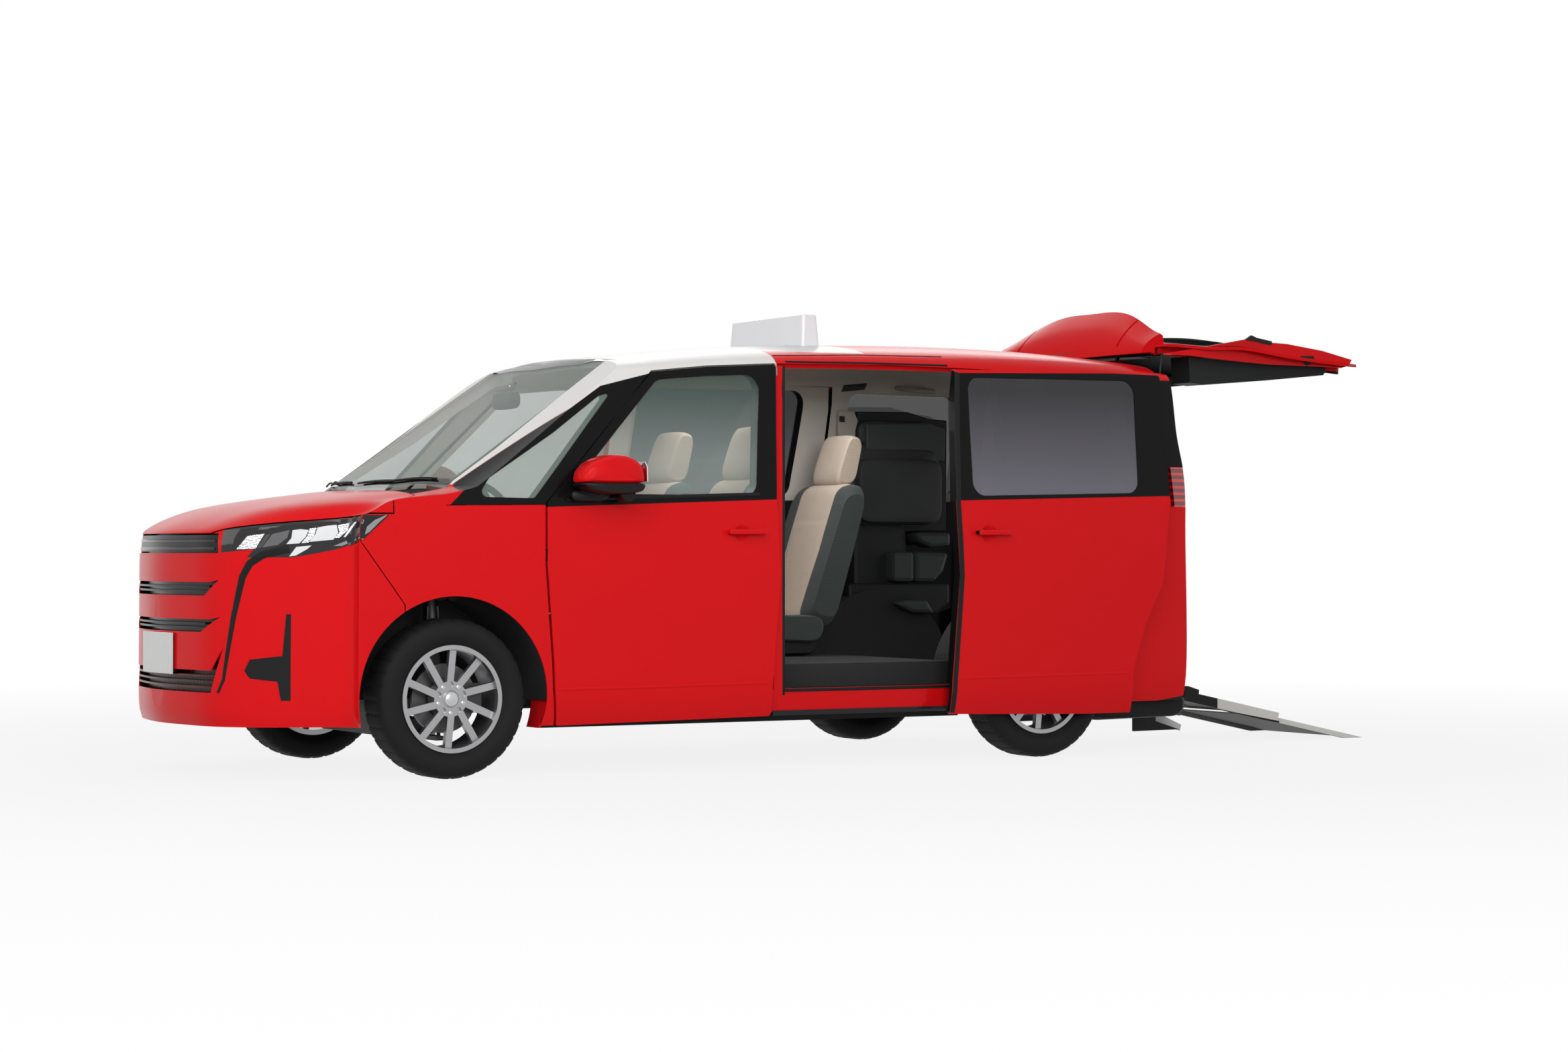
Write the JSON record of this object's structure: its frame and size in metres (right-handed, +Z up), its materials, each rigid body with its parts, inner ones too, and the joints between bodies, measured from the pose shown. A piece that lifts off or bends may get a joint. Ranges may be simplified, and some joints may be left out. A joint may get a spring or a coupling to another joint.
{
  "type": "taxi cab",
  "caption": "Sliding-door people-carrier taxi with opening doors, bonnet, tailgate, steering, rolling wheels and a folding wheelchair ramp.",
  "frame": {"origin": "on the ground, midway between the sides and midway between the front bumper's tip and the ramp's toe", "axes": "front of the vehicle towards -Y, vehicle's left side towards +X, +Z up"},
  "size_m": [2, 6.014, 2.0541],
  "materials": {
    "paint_red": "gloss",
    "paint_white": "gloss",
    "dark_metal": "satin",
    "black_plastic": "matte",
    "lamp_clear": "clear",
    "lamp_red": "gloss",
    "glass_front": "clear",
    "glass_dark": "tinted",
    "seat_fabric": "woven",
    "sign_white": "gloss",
    "engine_metal": "cast",
    "bare_steel": "satin",
    "ramp_aluminium": "satin",
    "tyre": "matte",
    "wheel_alloy": "satin"
  },
  "bodies": {
    "body": {"underbody": "dark_metal", "body_side_left": "paint_red", "body_side_right": "paint_red", "roof": "paint_white", "front_fenders": "paint_red", "front_bumper": "paint_red", "grille": "black_plastic", "headlamps": "lamp_clear", "cowl": "black_plastic", "windscreen": "glass_front", "fixed_side_glass": "glass_dark", "sliding_door_left": "paint_red", "sliding_door_right": "paint_red", "sliding_door_glass": "glass_dark", "slide_gear": "dark_metal", "rear_bumper": "paint_red", "tail_lamps": "lamp_red", "dashboard": "black_plastic", "front_seats": "seat_fabric", "second_row_seat": "seat_fabric", "third_row_seats": "seat_fabric", "roof_sign": "sign_white", "engine": "engine_metal", "fuel_tank": "black_plastic", "exhaust": "bare_steel", "front_subframe": "dark_metal", "rear_axle": "dark_metal", "rear_springs": "bare_steel", "front_wheel_boxes": "dark_metal"},
    "bonnet_lid": {"bonnet": "paint_red"},
    "door_left": {"front_door_left": "paint_red", "front_door_glass_left": "glass_front", "mirror_left": "paint_red"},
    "door_right": {"front_door_right": "paint_red", "front_door_glass_right": "glass_front", "mirror_right": "paint_red"},
    "gate": {"tailgate": "paint_red", "tailgate_glass": "glass_dark", "spoiler": "paint_red"},
    "stay_lower": {"stay_tubes": "black_plastic"},
    "stay_upper": {"stay_rods": "bare_steel"},
    "ramp_deck": {"ramp_main": "ramp_aluminium"},
    "ramp_slider": {"ramp_toe": "ramp_aluminium"},
    "steering": {"steering_wheel": "black_plastic"},
    "steer_left": {"knuckle_left": "dark_metal"},
    "steer_right": {"knuckle_right": "dark_metal"},
    "road_wheel_front_left": {"tyre_front_left": "tyre", "wheel_front_left": "wheel_alloy"},
    "road_wheel_front_right": {"tyre_front_right": "tyre", "wheel_front_right": "wheel_alloy"},
    "road_wheel_rear_left": {"tyre_rear_left": "tyre", "wheel_rear_left": "wheel_alloy"},
    "road_wheel_rear_right": {"tyre_rear_right": "tyre", "wheel_rear_right": "wheel_alloy"}
  },
  "joints": [
    {"name": "left_door_swing", "type": "hinge", "parent": "body", "child": "door_left", "pos_m": [0.849, -1.607, 0.64], "axis": [0, 0, -1], "range_deg": [0, 65]},
    {"name": "right_door_swing", "type": "hinge", "parent": "body", "child": "door_right", "pos_m": [-0.849, -1.607, 0.64], "axis": [0, 0, 1], "range_deg": [0, 65]},
    {"name": "bonnet_lift", "type": "hinge", "parent": "body", "child": "bonnet_lid", "pos_m": [0, -2.163, 1.15], "axis": [-1, 0, 0], "range_deg": [0, 50]},
    {"name": "gate_lift", "type": "hinge", "parent": "body", "child": "gate", "pos_m": [0, 1.497, 1.794], "axis": [1, 0, 0], "range_deg": [-85, 0]},
    {"name": "stay_swing", "type": "hinge", "parent": "body", "child": "stay_lower", "pos_m": [0, 1.529, 1.19], "axis": [1, 0, 0], "range_deg": [0, 5.48]},
    {"name": "stay_slide", "type": "slide", "parent": "stay_lower", "child": "stay_upper", "axis": [0, 0.1154, 0.9933], "range_m": [-0.14, 0]},
    {"name": "ramp_swing", "type": "hinge", "parent": "body", "child": "ramp_deck", "pos_m": [0, 1.543, 0.306], "axis": [-1, 0, 0], "range_deg": [-101, 0]},
    {"name": "ramp_extend", "type": "slide", "parent": "ramp_deck", "child": "ramp_slider", "axis": [0, 0.9787, -0.2052], "range_m": [-0.56, 0]},
    {"name": "steering_turn", "type": "hinge", "parent": "body", "child": "steering", "pos_m": [-0.37, -1.303, 1.04], "axis": [0, 0.8829, 0.4695], "range_deg": [-490, 490]},
    {"name": "steer_left_turn", "type": "hinge", "parent": "body", "child": "steer_left", "pos_m": [0.69, -2.063, 0.19], "axis": [-0.1513, 0, 0.9885], "range_deg": [-35, 35]},
    {"name": "steer_right_turn", "type": "hinge", "parent": "body", "child": "steer_right", "pos_m": [-0.69, -2.063, 0.19], "axis": [0.1513, 0, 0.9885], "range_deg": [-35, 35]},
    {"name": "front_left_roll", "type": "hinge", "parent": "steer_left", "child": "road_wheel_front_left", "pos_m": [0.75, -2.063, 0.322], "axis": [1, 0, 0], "continuous": true},
    {"name": "front_right_roll", "type": "hinge", "parent": "steer_right", "child": "road_wheel_front_right", "pos_m": [-0.75, -2.063, 0.322], "axis": [1, 0, 0], "continuous": true},
    {"name": "rear_left_roll", "type": "hinge", "parent": "body", "child": "road_wheel_rear_left", "pos_m": [0.7575, 0.787, 0.322], "axis": [1, 0, 0], "continuous": true},
    {"name": "rear_right_roll", "type": "hinge", "parent": "body", "child": "road_wheel_rear_right", "pos_m": [-0.7575, 0.787, 0.322], "axis": [1, 0, 0], "continuous": true}
  ],
  "couplings": [
    {"joint": "stay_swing", "follows": "gate_lift", "ratio": -0.06436},
    {"joint": "stay_slide", "follows": "gate_lift", "m_per_rad": 0.094304},
    {"joint": "steer_left_turn", "follows": "steering_turn", "ratio": 0.0714},
    {"joint": "steer_right_turn", "follows": "steering_turn", "ratio": 0.0714}
  ]
}
